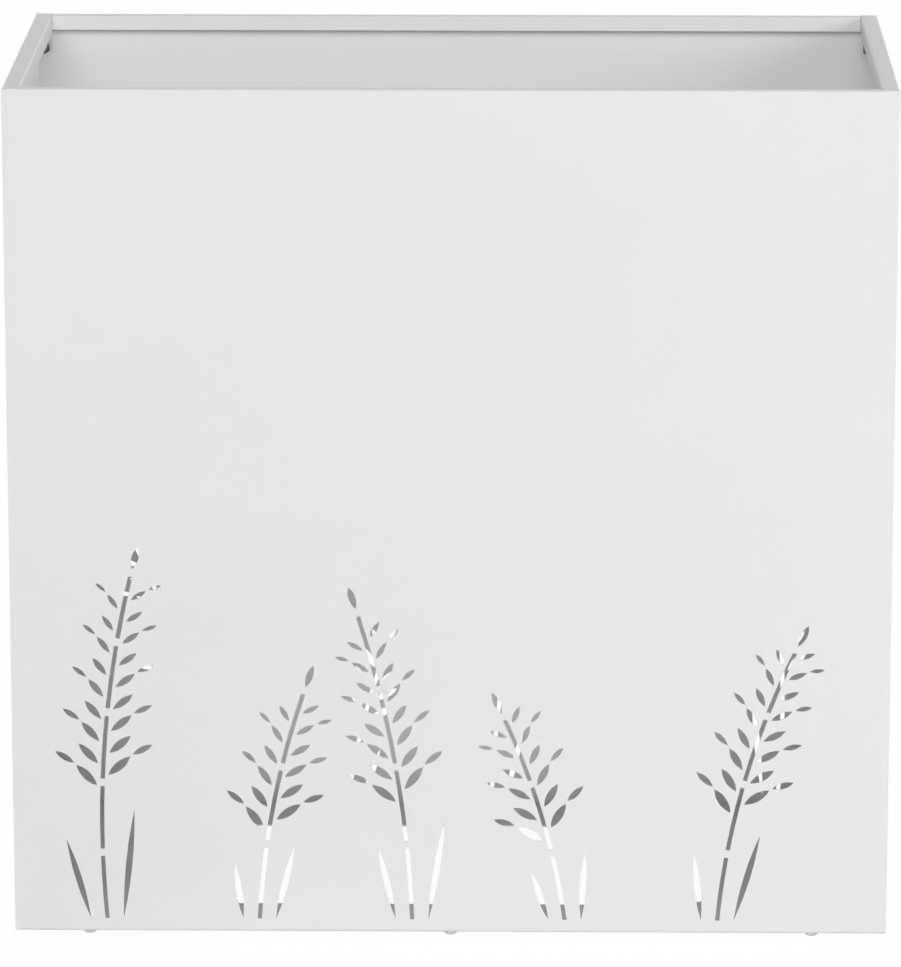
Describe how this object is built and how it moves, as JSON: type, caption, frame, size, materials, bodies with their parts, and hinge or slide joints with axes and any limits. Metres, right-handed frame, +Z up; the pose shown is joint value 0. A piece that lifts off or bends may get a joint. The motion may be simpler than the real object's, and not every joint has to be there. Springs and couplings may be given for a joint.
{
  "type": "planter",
  "caption": "Rectangular floor planter of folded, powder-coated sheet steel, open at the top and in the floor, with a leafy pattern cut through front and back.",
  "frame": {"origin": "middle of the footprint, on the ground under the heads of the base bolts", "axes": "+X to the right along the front, +Y from the front to the back, +Z up"},
  "size_m": [0.8, 0.4, 0.789],
  "materials": {
    "powder_coat": "satin powder coat, very light warm grey",
    "stud_steel": "plain weld stud",
    "nut_steel": "dark zinc",
    "bolt_steel": "zinc",
    "washer_steel": "zinc"
  },
  "bodies": {
    "root": {"front_panel": "powder_coat", "back_panel": "powder_coat", "left_side_panel": "powder_coat", "right_side_panel": "powder_coat", "floor_plate": "powder_coat", "front_left_studs": "stud_steel", "front_right_studs": "stud_steel", "back_left_studs": "stud_steel", "back_right_studs": "stud_steel", "front_left_corner_nuts": "nut_steel", "front_right_corner_nuts": "nut_steel", "back_left_corner_nuts": "nut_steel", "back_right_corner_nuts": "nut_steel", "front_base_nuts": "nut_steel", "back_base_nuts": "nut_steel", "left_base_nut": "nut_steel", "right_base_nut": "nut_steel", "front_base_bolts": "bolt_steel", "back_base_bolts": "bolt_steel", "left_base_bolt": "bolt_steel", "right_base_bolt": "bolt_steel", "front_base_washers": "washer_steel", "back_base_washers": "washer_steel", "left_base_washer": "washer_steel", "right_base_washer": "washer_steel"}
  },
  "joints": []
}
